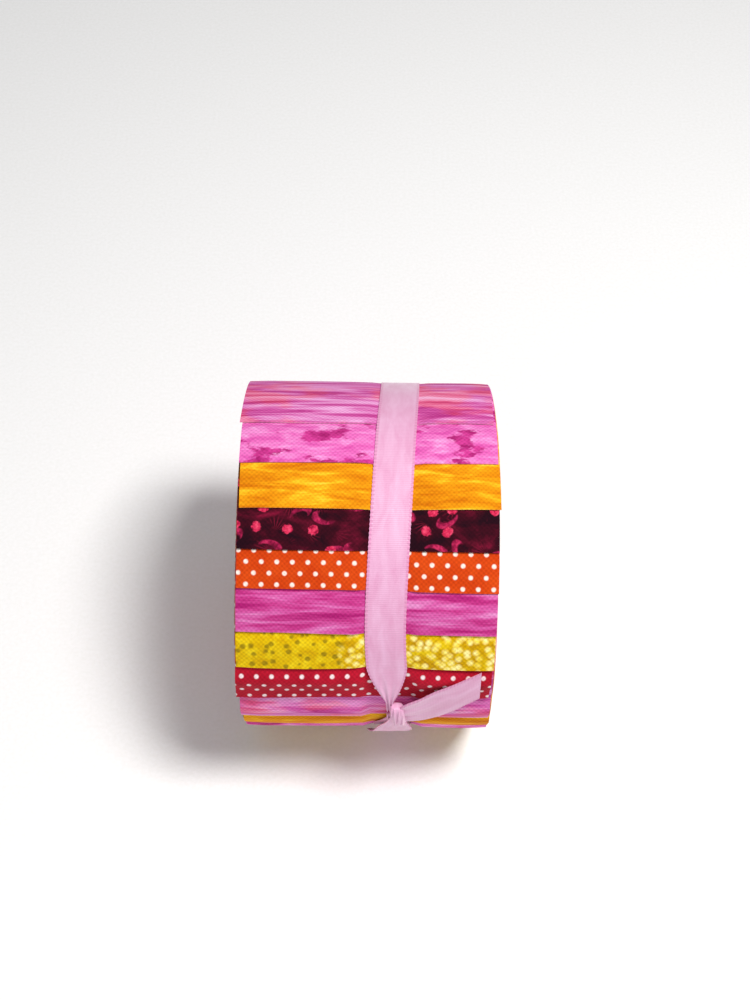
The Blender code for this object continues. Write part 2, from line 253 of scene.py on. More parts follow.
# %% Outside of the roll
OVAL_MM = 0.3
RIBBON_WIDTH = 0.0100
RIBBON_THICK = 0.00022
RIBBON_GAP = 0.00003
BED_LIGHT = 0.00020
BED_FLOOR = 0.00030
BED_FLAT = 0.0003
BED_FADE = 0.0024
WAIST_MM = 0.15
WAIST_AT_KNOT_MM = 0.55
VALLEY_MM = 0.75
DROOP_MM = 0.25
RIBBON_DEG = np.array([3.0, 28.0, 53.0, 71.0, 90.0, 112.0, 180.0, 270.0])
RIBBON_ACROSS = np.array([5.9, 4.5, 4.9, 5.6, 6.4, 7.4, 8.6, 8.6]) * MM


def outline(deg):
    """The roll's outer radius: a circle plus an oval wave and five lobes, cut off level at the floor."""
    free = ROLL_RADIUS + OVAL_MM * MM * (np.cos(np.radians(2 * (deg - 60))) + np.cos(np.radians(5 * (deg - 13))))
    downward = np.cos(np.radians(deg - FLOOR_DEG))
    return np.minimum(free, AXIS_HEIGHT / np.where(downward > 0.2, downward, 0.2))


def through(points, values, at):
    """A smooth curve through these values: between two points, a cubic that keeps the slope at each."""
    slope = np.gradient(values, points, axis=0)
    before = np.clip(np.searchsorted(points, at) - 1, 0, len(points) - 2)
    span = points[before + 1] - points[before]
    t = (at - points[before]) / span
    if values.ndim > 1:
        span, t = span[:, None], t[:, None]
    start, stop = values[before], values[before + 1]
    bend = slope[before] * span * t * (1 - t) ** 2 - slope[before + 1] * span * t * t * (1 - t)
    return start * (1 + 2 * t) * (1 - t) ** 2 + stop * t * t * (3 - 2 * t) + bend


def ribbon_middle(deg):
    """Where the ribbon's middle lies along the axis, as a closed curve round the roll."""
    points = np.concatenate([RIBBON_DEG - 360, RIBBON_DEG, RIBBON_DEG + 360])
    return through(points, np.tile(RIBBON_ACROSS, 3), np.mod(deg, 360))


def near_floor(deg):
    """1 close to the floor and 0 away from it."""
    off = np.abs(np.mod(deg - FLOOR_DEG + 180, 360) - 180)
    return 1 - smooth((off - 22) / 26)


def bed_depth(deg):
    """How deep the ribbon's bed is: light all round, and deep enough at the floor to lie flush."""
    return BED_LIGHT + (BED_FLOOR - BED_LIGHT) * near_floor(deg)


def bedded(deg, across):
    """1 under the ribbon and 0 beside it, with a soft slope between."""
    beside = np.abs(across - ribbon_middle(deg)) - RIBBON_WIDTH / 2 - BED_FLAT
    return 1 - smooth(beside / BED_FADE)


def swell(deg, across):
    """The faint waves of hand-rolled cloth: three crossing waves, still at the floor."""
    turn, along = np.radians(deg), across / STRIP_WIDTH * 2 * math.pi
    wave = 0.05 * np.sin(3 * turn + 1.3 * along) + 0.05 * np.sin(7 * turn - 0.9 * along + 1)
    wave = wave + 0.03 * np.sin(11 * turn + 2.1 * along + 2)
    return wave * MM * (1 - near_floor(deg))


def waist(deg, across):
    """How far the tied ribbon draws the roll in round about it: most near the knot, as a bell curve along X."""
    near_knot = np.exp(-(((np.mod(deg - 5 + 180, 360) - 180) / 24) ** 2))
    bell = np.exp(-(((across - ribbon_middle(deg)) / 0.012) ** 2))
    return (WAIST_MM + WAIST_AT_KNOT_MM * near_knot) * MM * bell * (1 - near_floor(deg))


def valley(deg, across):
    """The dark valley at strip 8's free end, where the cloth sinks between two soft folds, away from the ribbon."""
    beside_ribbon = 1 - 0.8 * np.exp(-(((across - ribbon_middle(deg)) / 0.008) ** 2))
    return VALLEY_MM * MM * np.exp(-(((np.mod(deg - 1.5 + 180, 360) - 180) / 7.0) ** 2)) * beside_ribbon


def surface(deg, across):
    """The outside of the cloth, before the ribbon's own bed."""
    return outline(deg) + swell(deg, across) - waist(deg, across)


def place(deg, radius, across):
    """Points on the roll: along X by across, and round the axis by the angle at this radius."""
    deg, radius, across = np.broadcast_arrays(deg, radius, across)
    turn = np.radians(deg)
    return np.stack([across, -radius * np.cos(turn), AXIS_HEIGHT + radius * np.sin(turn)], axis=-1)


print(f"radius {outline(np.arange(360.0)).min() * 1000:.1f} to {outline(np.arange(360.0)).max() * 1000:.1f} mm")

# %% [markdown]
# ## How the layers lie on each other
#
# Go round the roll from one strip's free end. Each time another strip's end is passed, this strip
# has gone one layer deeper. So the depth of any layer is a count of the ends passed. Near the
# outside each passed end is a small dip, and further in the dips melt into an even spiral.

# %% Counting layers
DIP_ARC = 0.0030
SETTLES_AFTER = 20.0
SOFTEN_DEG = 14.0
TABLE_STEP = 0.25
table_deg = np.arange(-560.0, 3400.0, TABLE_STEP)
all_ends = (np.array([s.end_deg for s in STRIPS])[:, None] + 360.0 * np.arange(-2, 10)).ravel()
table_count = smooth((table_deg[:, None] - all_ends + arc_deg(DIP_ARC)) / arc_deg(DIP_ARC)).sum(axis=1)
kernel = np.exp(-0.5 * (np.arange(-50.0, 50.0 + TABLE_STEP, TABLE_STEP) / SOFTEN_DEG) ** 2)
table_soft = np.convolve(table_count, kernel / kernel.sum(), mode="same")


def depth(deg, end_deg):
    """How many layers deep a strip lies: the ends passed since its own, softened further in."""
    count = np.interp(deg, table_deg, table_count)
    deep = count - np.interp(end_deg, table_deg, table_count)
    settled = smooth(deep / SETTLES_AFTER)
    return deep + settled * (np.interp(deg, table_deg, table_soft) - count)


def layer_radius(deg, across, deep):
    """The outer face of a layer: the outline drawn in by its depth, less the bed and the drooping edges."""
    scale = 1 - LAYER * deep / ROLL_RADIUS
    bed = bed_depth(deg) * bedded(deg, across) * np.clip(1 - deep / 20, 0, 1)
    droop = DROOP_MM * MM * smooth((np.abs(across) - 0.0275) / 0.005) * np.clip(1 - deep / 30, 0, 1)
    drawn_in = waist(deg, across) * np.clip(1 - deep / 70, 0, 1) + valley(deg, across) * np.clip(1 - deep / 50, 0, 1)
    return (outline(deg) + swell(deg, across)) * scale - drawn_in - bed - droop * (1 - near_floor(deg))


print(f"{len(STRIPS) * LAYER * 1000:.1f} mm of cloth a turn")

# %% [markdown]
# ## A closed sheet from two grids
#
# A sheet of cloth is two grids of points, its face and its back, joined along all four edges. The
# faces are numbered as whole arrays. Two extra values go with the points: the place on the flat
# cloth in millimetres, which the prints follow, and whether a point is on the cloth's back.

# %% Closed sheets
Sheet = namedtuple("Sheet", "points faces flat back")


def closed_sheet(face, back, flat):
    """Joins two grids of points, rows by columns, into a closed sheet. Columns run along +X."""
    rows, columns = face.shape[:2]
    count = rows * columns
    number = np.arange(count).reshape(rows, columns)
    a, b, c, d = number[:-1, :-1], number[:-1, 1:], number[1:, 1:], number[1:, :-1]
    outer = np.stack([a, b, c, d], axis=-1).reshape(-1, 4)
    rim = np.concatenate([number[0, :-1], number[:-1, -1], number[-1, :0:-1], number[:0:-1, 0]])
    after = np.roll(rim, -1)
    sides = np.stack([after, rim, rim + count, after + count], axis=-1)
    faces = np.concatenate([outer, outer[:, ::-1] + count, sides])
    points = np.concatenate([face.reshape(-1, 3), back.reshape(-1, 3)])
    flat = np.tile(flat.reshape(-1, 2), (2, 1))
    return Sheet(points, faces, flat, np.repeat([0.0, 1.0], count))


def joined(sheets):
    """Several sheets as one."""
    starts = np.cumsum([0] + [len(s.points) for s in sheets[:-1]])
    faces = np.concatenate([s.faces + start for s, start in zip(sheets, starts)])
    return Sheet(*(np.concatenate(part) for part in zip(*sheets)))._replace(faces=faces)


def make_object(name, sheet, material):
    """A mesh object from a sheet, with its flat map in millimetres and its back marked."""
    mesh = bpy.data.meshes.new(name)
    mesh.vertices.add(len(sheet.points))
    mesh.vertices.foreach_set("co", sheet.points.ravel())
    mesh.loops.add(sheet.faces.size)
    mesh.loops.foreach_set("vertex_index", sheet.faces.ravel())
    mesh.polygons.add(len(sheet.faces))
    mesh.polygons.foreach_set("loop_start", np.arange(0, sheet.faces.size, 4))
    mesh.update(calc_edges=True)
    mesh.uv_layers.new(name="cloth_mm").data.foreach_set("uv", sheet.flat[sheet.faces.ravel()].ravel())
    mesh.attributes.new("back", "FLOAT", "POINT").data.foreach_set("value", sheet.back)
    mesh.shade_smooth()
    mesh.set_sharp_from_angle(angle=math.radians(40))
    mesh.materials.append(material)
    made = bpy.data.objects.new(name, mesh)
    bpy.context.scene.collection.objects.link(made)
    return made


# %% [markdown]
# ## The prints
#
# The strips are cut from eight quilting cottons. Quilting cotton is plain-woven and printed on one
# side, so it is matt and faintly fuzzy, its back is paler, and its threads show close up. The prints
# run along the cloth's own flat map, so each pattern bends with the roll as real cloth does.
#
# Each print is a small function that returns its colour. The streaks are noise drawn out along the
# strip's width.

# %% Streaked prints
def streaks(tree, flat, length_mm, height_mm, stops, waver=0.3):
    """Noise stretched into streaks of this length and height, a little wavy, coloured by the stops."""
    stretched = add(tree, "ShaderNodeMapping", {"Vector": flat, "Scale": (1 / length_mm, 1 / height_mm, 1.0)})
    look = {"Vector": stretched.outputs[0], "Scale": 1.0, "Detail": 5.0, "Roughness": 0.6, "Distortion": waver}
    noise = add(tree, "ShaderNodeTexNoise", look, noise_dimensions="2D")
    return add(tree, "ShaderNodeValToRGB", {"Fac": noise.outputs["Fac"]}, stops).outputs["Color"]


def patches(tree, flat, length_mm, height_mm, low, high, detail=3.0):
    """A mask of soft patches: 0 where stretched noise is under low, and 1 where it is over high."""
    stretched = add(tree, "ShaderNodeMapping", {"Vector": flat, "Location": (3.7, 9.1, 0.0), "Scale": (1 / length_mm, 1 / height_mm, 1.0)})
    look = {"Vector": stretched.outputs[0], "Scale": 1.0, "Detail": detail, "Roughness": 0.6}
    noise = add(tree, "ShaderNodeTexNoise", look, noise_dimensions="2D")
    reach = {"Value": noise.outputs["Fac"], "From Min": low, "From Max": high}
    return add(tree, "ShaderNodeMapRange", reach, interpolation_type="SMOOTHSTEP").outputs[0]


def blended(tree, share, first, second):
    """The first colour where the share is 0 and the second where it is 1."""
    colours = {FACTOR: share, COLOUR_A: first, COLOUR_B: second}
    return add(tree, "ShaderNodeMix", colours, data_type="RGBA").outputs[MIXED]


def rose_streak(tree, flat):
    """Rose and magenta streaks that turn coral red in places."""
    rose = streaks(tree, flat, 26, 2.2, [(0.32, "#B03080"), (0.44, "#CC54A0"), (0.56, "#DC80BE"), (0.70, "#ECAEDC")], 0.6)
    coral = streaks(tree, flat, 26, 2.2, [(0.32, "#C03264"), (0.45, "#DA5684"), (0.57, "#E880A6"), (0.72, "#F0AED2")], 0.6)
    return blended(tree, patches(tree, flat, 24, 12, 0.44, 0.60), rose, coral)


def pink_mottle(tree, flat):
    """Pink with magenta clouds that break up at their edges."""
    ground = streaks(tree, flat, 8, 2.2, [(0.30, "#D250A4"), (0.48, "#E06AB6"), (0.62, "#E888C8"), (0.78, "#F2B0DE")])
    cloud = streaks(tree, flat, 4, 2.0, [(0.34, "#A01C68"), (0.60, "#CA3A8E")])
    return blended(tree, patches(tree, flat, 16, 7, 0.535, 0.585, 7.0), ground, cloud)


def amber_streak(tree, flat):
    """Amber with long golden clouds and deeper orange between them."""
    return streaks(tree, flat, 15, 2.6, [(0.32, "#C86C00"), (0.46, "#DC8806"), (0.56, "#E69A0E"), (0.64, "#F0BA20"), (0.76, "#F6D04A")])


def magenta_streak(tree, flat):
    """Magenta and pink in long even streaks."""
    return streaks(tree, flat, 24, 2.0, [(0.34, "#A61C6C"), (0.45, "#BE3682"), (0.56, "#CE58A0"), (0.70, "#DC88C0")], 0.15)


print("four streaked prints")

# %% [markdown]
# The dotted prints have small white dots in staggered rows. Wrapping the flat map round one dot's
# space gives the place beside the nearest dot, and its length is the distance to that dot.

# %% Dotted prints
DOT_RADIUS_MM = 0.55
DOT_SPACING_MM = (3.74, 5.50)
DOT_START_MM = (0.52, 1.80)


def dot_mask(tree, flat):
    """1 on a dot and 0 beside it. Every second row is shifted by half a space."""
    rows = []
    for half in (0.0, 0.5):
        start = (DOT_START_MM[0] + half * DOT_SPACING_MM[0], DOT_START_MM[1] + half * DOT_SPACING_MM[1], 0.0)
        high = (DOT_SPACING_MM[0] / 2, DOT_SPACING_MM[1] / 2, 0.0)
        low = tuple(-h for h in high)
        moved = add(tree, "ShaderNodeVectorMath", {0: flat, 1: start}, operation="SUBTRACT").outputs[0]
        beside = add(tree, "ShaderNodeVectorMath", {0: moved, 1: high, 2: low}, operation="WRAP").outputs[0]
        away = add(tree, "ShaderNodeVectorMath", {0: beside}, operation="LENGTH").outputs["Value"]
        reach = {"Value": away, "From Min": DOT_RADIUS_MM + 0.15, "From Max": DOT_RADIUS_MM - 0.15}
        rows.append(add(tree, "ShaderNodeMapRange", reach).outputs[0])
    return maths(tree, "MAXIMUM", *rows)


def orange_dot(tree, flat):
    """Orange red with white dots."""
    ground = streaks(tree, flat, 6, 6, [(0.3, "#C43A06"), (0.7, "#D2480E")])
    return blended(tree, dot_mask(tree, flat), ground, linear("#F4E2D8"))


def crimson_dot(tree, flat):
    """Crimson with white dots."""
    ground = streaks(tree, flat, 6, 6, [(0.3, "#A80E26"), (0.7, "#BC1630")])
    return blended(tree, dot_mask(tree, flat), ground, linear("#F2E0E2"))


print(f"dots of {2 * DOT_RADIUS_MM:.1f} mm, {DOT_SPACING_MM[0]} mm apart")

# %% [markdown]
# The burgundy cotton has crimson berries, curled leaves and brushed fans on a nearly black red. The
# cells of a Voronoi pattern scatter them, and each cell's random colour turns its motif. The yellow
# cotton has ochre spots on one half of its width and pale bubbles on the other.

# %% Scattering
def scatter(tree, flat, cell_mm, start):
    """One thing to a cell: the place beside it in millimetres, turned at random, and its random number."""
    placed = add(tree, "ShaderNodeMapping", {"Vector": flat, "Location": start, "Scale": (1 / cell_mm,) * 3}).outputs[0]
    cells = add(tree, "ShaderNodeTexVoronoi", {"Vector": placed, "Scale": 1.0, "Randomness": 0.85}, voronoi_dimensions="2D")
    beside = add(tree, "ShaderNodeVectorMath", {0: placed, 1: cells.outputs["Position"]}, operation="SUBTRACT").outputs[0]
    beside = add(tree, "ShaderNodeVectorMath", {0: beside, "Scale": cell_mm}, operation="SCALE").outputs[0]
    chance = add(tree, "ShaderNodeSeparateColor", {0: cells.outputs["Color"]}).outputs
    angle = maths(tree, "MULTIPLY", chance[0], 2 * math.pi)
    turned = add(tree, "ShaderNodeVectorRotate", {"Vector": beside, "Angle": angle}, rotation_type="Z_AXIS").outputs[0]
    return turned, chance[1]


def distance(tree, place_mm, centre=(0.0, 0.0, 0.0), squash=(1.0, 1.0, 1.0)):
    """How far a place is from a centre, with each direction first divided by its squash."""
    moved = add(tree, "ShaderNodeVectorMath", {0: place_mm, 1: centre}, operation="SUBTRACT").outputs[0]
    squashed = add(tree, "ShaderNodeVectorMath", {0: moved, 1: squash}, operation="DIVIDE").outputs[0]
    return add(tree, "ShaderNodeVectorMath", {0: squashed}, operation="LENGTH").outputs["Value"]


def inside(tree, away, radius_mm, soft_mm):
    """1 within this radius and 0 outside it, with a soft edge."""
    reach = {"Value": away, "From Min": radius_mm + soft_mm, "From Max": radius_mm - soft_mm}
    return add(tree, "ShaderNodeMapRange", reach).outputs[0]


# %% Scattered prints
def berries(tree, flat):
    """Round berries of about 3 mm in two of three cells, their edges made rough with noise."""
    beside, chance = scatter(tree, flat, 6.5, (10.4, 1.7, 0.0))
    rough = add(tree, "ShaderNodeTexNoise", {"Vector": flat, "Scale": 1.6, "Detail": 3.0}, noise_dimensions="2D").outputs["Fac"]
    away = maths(tree, "MULTIPLY_ADD", rough, 0.9, distance(tree, beside, squash=(1.0, 0.85, 1.0)))
    return maths(tree, "MULTIPLY", inside(tree, away, 1.75, 0.15), maths(tree, "GREATER_THAN", chance, 0.35))


def leaves(tree, flat):
    """Curled leaves: an oval of 6 by 3.4 mm, less an oval that lies off its middle and opens one side."""
    beside, chance = scatter(tree, flat, 8.0, (0.4, 0.2, 0.0))
    oval = inside(tree, distance(tree, beside, squash=(1.75, 1.0, 1.0)), 1.65, 0.12)
    hole = inside(tree, distance(tree, beside, (0.9, 0.75, 0.0), (1.8, 1.0, 1.0)), 1.35, 0.15)
    return maths(tree, "MULTIPLY", maths(tree, "SUBTRACT", oval, hole, clamp=True), maths(tree, "LESS_THAN", chance, 0.75))


def fans(tree, flat):
    """Brushed fans: fine strokes that spread from each cell's middle, as waves in the angle about it."""
    beside, _ = scatter(tree, flat, 6.5, (2.1, 3.3, 0.0))
    parts = add(tree, "ShaderNodeSeparateXYZ", {0: beside}).outputs
    angle = maths(tree, "ARCTAN2", parts[1], parts[0])
    strokes = maths(tree, "SINE", maths(tree, "MULTIPLY", angle, 21.0))
    spread = maths(tree, "GREATER_THAN", parts[0], 0.5)
    ring = inside(tree, distance(tree, beside, (1.6, 0.0, 0.0)), 1.9, 0.9)
    return maths(tree, "MULTIPLY", maths(tree, "MULTIPLY", strokes, spread, clamp=True), ring)


def burgundy_leaf(tree, flat):
    """Nearly black red with crimson berries and leaves, and darker brushed fans in places."""
    ground = streaks(tree, flat, 9, 5, [(0.36, "#200210"), (0.52, "#380214"), (0.66, "#560620"), (0.78, "#780C2E")])
    brushed = maths(tree, "MULTIPLY", fans(tree, flat), patches(tree, flat, 9, 7, 0.46, 0.60))
    ground = blended(tree, brushed, ground, linear("#6C0E28"))
    leaf = streaks(tree, flat, 1.6, 1.6, [(0.36, "#6A0A2C"), (0.52, "#9A1644"), (0.68, "#C22C5A")])
    berry = streaks(tree, flat, 1.1, 1.1, [(0.34, "#8A1034"), (0.46, "#C4204A"), (0.66, "#E04668")])
    return blended(tree, berries(tree, flat), blended(tree, leaves(tree, flat), ground, leaf), berry)


def yellow_spot(tree, flat):
    """Bright yellow: soft ochre spots of 0.5 to 1.4 mm to the left, and pale bubbles to the right."""
    ground = streaks(tree, flat, 3, 3, [(0.3, "#CEA200"), (0.5, "#DCB602"), (0.7, "#EACC18")])
    spots, _ = scatter(tree, flat, 2.9, (0.0, 0.0, 0.0))
    size = patches(tree, flat, 12, 10, 0.38, 0.62)
    radius = add(tree, "ShaderNodeMapRange", {"Value": size, "To Min": 0.74, "To Max": 0.32}).outputs[0]
    inner = maths(tree, "SUBTRACT", radius, distance(tree, spots))
    spot = add(tree, "ShaderNodeMapRange", {"Value": inner, "From Min": -0.20, "From Max": 0.20, "To Max": 0.80}).outputs[0]
    spotted = blended(tree, spot, ground, linear("#8C740C"))
    bubbles, _ = scatter(tree, flat, 2.1, (1.2, 0.6, 0.0))
    bubble = inside(tree, distance(tree, bubbles), 0.74, 0.36)
    between = streaks(tree, flat, 4, 3, [(0.34, "#BC8C00"), (0.5, "#D0A400"), (0.66, "#E2C010")])
    pale = streaks(tree, flat, 3, 3, [(0.36, "#F4D838"), (0.64, "#FFF2A0")])
    bubbled = blended(tree, bubble, between, pale)
    edge = add(tree, "ShaderNodeTexNoise", {"Vector": flat, "Scale": 0.3, "Detail": 2.0}, noise_dimensions="2D").outputs["Fac"]
    along = add(tree, "ShaderNodeSeparateXYZ", {0: flat}).outputs[0]
    side = add(tree, "ShaderNodeMapRange", {"Value": maths(tree, "MULTIPLY_ADD", edge, 9.0, along), "From Min": -2.5, "From Max": 0.5})
    return blended(tree, side.outputs[0], spotted, bubbled)


print("two scattered prints")

# %% [markdown]
# ## Quilting cotton
#
# Plain weave: threads over and under each other. Real threads are 0.34 mm apart, which is about one
# pixel here, so they are drawn 0.6 mm apart to show. The relief comes from the product of two sine
# waves. The colour is painted a touch lighter on the raised threads and darker in the hollows between
# them, as painted light and shade, mixed with the uneven tone of slubbed threads. Sheen stands for
# the fuzz of short fibres.

# %% Quilting cotton
THREAD_MM = 0.60
THREAD_RELIEF = 0.00005
SPECKLE_MM = 0.45


def quilting_cotton(name, print_colour):
    """A printed cotton: the print on its face, a paler back and edges, thread relief and painted thread shade."""
    material, tree, shader = new_material(name)
    flat = add(tree, "ShaderNodeUVMap", uv_map="cloth_mm").outputs[0]
    split = add(tree, "ShaderNodeSeparateXYZ", {0: flat})
    waves = []
    for axis in (0, 1):
        waves.append(maths(tree, "SINE", maths(tree, "MULTIPLY", split.outputs[axis], math.pi / THREAD_MM)))
    weave = maths(tree, "MULTIPLY", *waves)
    speckle = {"Vector": flat, "Scale": 1 / SPECKLE_MM, "Detail": 2.0}
    slub = add(tree, "ShaderNodeTexNoise", speckle, noise_dimensions="2D").outputs["Fac"]
    relief = maths(tree, "ADD", weave, slub)
    printed = print_colour(tree, flat)
    side = add(tree, "ShaderNodeAttribute", attribute_name="back").outputs["Fac"]
    unprinted = add(tree, "ShaderNodeHueSaturation", {"Color": printed, "Saturation": 0.50, "Value": 1.30}).outputs[0]
    colour = blended(tree, side, printed, unprinted)
    # Painted light and shade: raised threads lighter, hollows darker, with the slub noise's uneven thread tone.
    raised = {"Value": relief, "From Min": -0.8, "From Max": 1.8, "To Min": 0.82, "To Max": 1.18}
    light = add(tree, "ShaderNodeMapRange", raised).outputs[0]
    shaded = add(tree, "ShaderNodeHueSaturation", {"Color": colour, "Value": light}).outputs[0]
    bump = add(tree, "ShaderNodeBump", {"Height": relief, "Strength": 0.55, "Distance": THREAD_RELIEF}).outputs[0]
    tree.links.new(shaded, shader.inputs["Base Color"])
    tree.links.new(bump, shader.inputs["Normal"])
    shader.inputs["Roughness"].default_value = 0.85
    shader.inputs["Specular IOR Level"].default_value = 0.1
    shader.inputs["Sheen Weight"].default_value = 0.03
    shader.inputs["Sheen Roughness"].default_value = 0.5
    return material


PRINTS = (rose_streak, pink_mottle, amber_streak, burgundy_leaf, orange_dot, magenta_streak, yellow_spot, crimson_dot)
cottons = {p.__name__: quilting_cotton("quilting_cotton_" + p.__name__, p) for p in PRINTS}
print("cottons:", ", ".join(cottons))

# %% [markdown]
# ## The strips
#
# A strip's rows run across the cloth, closely spaced near the free end, which shows, and further
# apart inside the roll. Its columns run along the cloth, and some follow the sides of the ribbon's
# bed. Each strip wanders a little sideways as it is rolled, which gives the ends of the roll their
# uneven edges. The rows stop where the strip's whole length is used up, or a little sooner at the core.

# %% Strip rows and columns
LIFT_ARC = 0.0060
BULGE_HALF = 0.0026
SLANT_FADE = 0.0200
COARSE_DEG = 6.0
CORE_RADIUS = 0.0016
random = np.random.default_rng(7)
wander_waves = random.uniform(0.0, 2 * math.pi, (len(STRIPS), 3))
wander_sizes = random.uniform(0.5, 1.0, (len(STRIPS), 3)) * np.array([0.11, 0.07, 0.04]) * MM
WANDER_LENGTHS = np.array([0.41, 0.17, 0.073])
INNER_SHIFT = 0.00030


def dip_rows():
    """Angles for one turn with rows at the start, middle and foot of every dip, and none far apart."""
    dip = arc_deg(DIP_ARC)
    ends = np.sort(np.mod([s.end_deg for s in STRIPS], 360))
    marks = np.sort(np.concatenate([ends - dip, ends - dip / 2, ends]))
    closed = np.append(marks, marks[0] + 360)
    pieces = [np.linspace(a, b, max(1, math.ceil((b - a) / 5.0)) + 1)[:-1] for a, b in zip(closed[:-1], closed[1:])]
    return np.mod(np.concatenate(pieces), 360)


def strip_rows(strip):
    """The angles of a strip's rows: 0.6 mm steps at its free end, then the dips, then even steps."""
    fine = np.concatenate([[0.0, 0.2], np.arange(0.6, 16.0, 0.6), np.arange(16.4, 30.0, 1.0)]) * MM
    fine = strip.end_deg + np.degrees(fine / ROLL_RADIUS)
    turn = dip_rows()
    first = np.concatenate([turn + 360 * n for n in range(-1, 3)])
    first = np.sort(first[(first > fine[-1] + 0.8) & (first < strip.end_deg + 360)])
    start = math.ceil((strip.end_deg + 361) / COARSE_DEG) * COARSE_DEG
    deg = np.concatenate([fine, first, np.arange(start, strip.end_deg + 3000, COARSE_DEG)])
    radius = layer_radius(deg, np.zeros_like(deg), depth(deg, strip.end_deg))
    step = np.radians(np.diff(deg)) * (radius[:-1] + radius[1:]) / 2
    used = np.concatenate([[0.0], np.cumsum(step)])
    last = min(np.interp(STRIP_LENGTH, used, deg), deg[radius > CORE_RADIUS][-1])
    deg = np.append(deg[deg < last - 0.5], last)
    radius = layer_radius(deg, np.zeros_like(deg), depth(deg, strip.end_deg))
    step = np.radians(np.diff(deg)) * (radius[:-1] + radius[1:]) / 2
    return deg, np.concatenate([[0.0], np.cumsum(step)])


def strip_columns(deg, left, right):
    """Places along the axis: evenly spread beside the bed, and on the lines where the bed begins."""
    middle = ribbon_middle(deg)[:, None]
    flat = RIBBON_WIDTH / 2 + BED_FLAT
    bed = middle + np.array([-flat - BED_FADE, -flat - BED_FADE / 2, -flat, 0.0, flat, flat + BED_FADE / 2, flat + BED_FADE])
    before = np.array([0.0, 0.05, 0.16, 0.37, 0.58, 0.79])
    beyond = np.array([0.30, 0.60, 0.86, 1.0])
    left_part = left[:, None] + (bed[:, :1] - left[:, None]) * before
    right_part = bed[:, -1:] + (right[:, None] - bed[:, -1:]) * beyond
    return np.concatenate([left_part, bed, right_part], axis=1)


def make_strip(index):
    """One whole strip: a sheet that winds inward from its free end, a layer deeper at each end it passes."""
    strip = STRIPS[index]
    deg, used = strip_rows(strip)
    wander = (wander_sizes[index] * np.sin(2 * math.pi * used[:, None] / WANDER_LENGTHS + wander_waves[index])).sum(axis=1)
    shift = strip.shift_mm * MM * np.exp(-used / 0.03) + (wander - INNER_SHIFT) * smooth(used / 0.12)
    across = strip_columns(deg, shift - STRIP_WIDTH / 2, shift + STRIP_WIDTH / 2)
    slant = -strip.slant_mm * MM * across / STRIP_WIDTH + 0.08 * MM * np.sin(across / 0.009 + index * 2.1)
    row_deg = deg[:, None] + np.degrees(slant / ROLL_RADIUS) * smooth(1 - used[:, None] / SLANT_FADE)
    radius = layer_radius(row_deg, across, depth(row_deg, strip.end_deg))
    free = 1 - bedded(row_deg, across)
    from_end = used[:, None]
    uneven = 0.75 + 0.25 * np.sin(across / 0.007 + index * 1.7)
    lift = strip.lift_mm * MM * np.clip(1 - from_end / LIFT_ARC, 0, 1) ** 2 * uneven
    bulge = strip.bulge_mm * MM * np.exp(-(((from_end - strip.bulge_at_mm * MM) / BULGE_HALF) ** 2)) * smooth((0.0116 - from_end) / 0.002)
    radius = radius + (lift + bulge) * free
    flat_u = (across - shift[:, None]) / MM + strip.print_mm[0]
    flat_v = np.broadcast_to(from_end / MM + strip.print_mm[1], across.shape)
    sheet = closed_sheet(place(row_deg, radius, across), place(row_deg, radius - COTTON, across), np.stack([flat_u, flat_v], axis=-1))
    return make_object(f"cotton_strip_{index + 1:02d}", sheet, cottons[strip.fabric])


strips = [make_strip(index) for index in range(len(STRIPS))]
faces = sum(len(s.data.polygons) for s in strips)
print(f"{len(strips)} strips, {2 * faces} triangles")

# %% [markdown]
# ## The ribbon
#
# One satin ribbon goes once round the roll and is knotted at the lower front. Towards the knot it
# gathers into lengthwise pleats. Both free ends leave the knot and lie over the cloth. The pieces of
# ribbon are closed sheets too, and become one object.

# %% Ribbon round the roll
KNOT_DEG = -3.0
GATHER_START = 0.0046
GATHER_ARC = 0.0118
NECK_HALF = 0.0010
PLEAT_DEPTH = 0.00028
EDGE_LOOP_MM = 1.1


def loop_sheet():
    """The ribbon round the roll: a band whose edges run straight together, into pleats, at the knot."""
    length = 2 * math.pi * ROLL_RADIUS
    along = np.arange(0.0007, length - 0.0007, EDGE_LOOP_MM * MM / 2)
    deg = (KNOT_DEG + np.degrees(along / ROLL_RADIUS))[:, None]
    from_knot = np.minimum(along, length - along)[:, None]
    gathered = np.clip(1 - (from_knot - GATHER_START) / GATHER_ARC, 0, 1) ** 1.3
    half = RIBBON_WIDTH / 2 + (NECK_HALF - RIBBON_WIDTH / 2) * gathered
    side = np.linspace(-1.0, 1.0, 19)[None, :]
    picot = 0.00008 * np.cos(2 * math.pi * along / (EDGE_LOOP_MM * MM))[:, None] * np.sign(side) * (np.abs(side) == 1)
    across = ribbon_middle(deg) + half * side + picot
    pleats = PLEAT_DEPTH * gathered * (1.3 + np.cos(3.2 * math.pi * side + 0.6) + 0.3 * np.cos(7 * side))
    raised = 0.0012 * smooth(1 - from_knot / 0.020) + 0.00025 * smooth(gathered * 1.5) * (1 - side**2)
    under = surface(deg, across) - bed_depth(deg) + RIBBON_GAP + pleats + raised
    flat = np.stack(np.broadcast_arrays(side * RIBBON_WIDTH / 2 / MM, along[:, None] / MM), axis=-1)
    return closed_sheet(place(deg, under + RIBBON_THICK, across), place(deg, under, across), flat)


# %% [markdown]
# The knot is a tight wrap of the ribbon over its own neck, pulled into pleats that run with the wrap.
# It is a boxy rounded form, with the pleats as waves across it.

# %% Knot
KNOT_ACROSS = 0.0081
KNOT_HALF = (0.0022, 0.0043, 0.0020)
PLEAT_WAVE_MM = 1.05


def rounded(wave, power):
    """A cosine or sine made boxier: its sign times its size to a power below one."""
    return np.sign(wave) * np.abs(wave) ** power


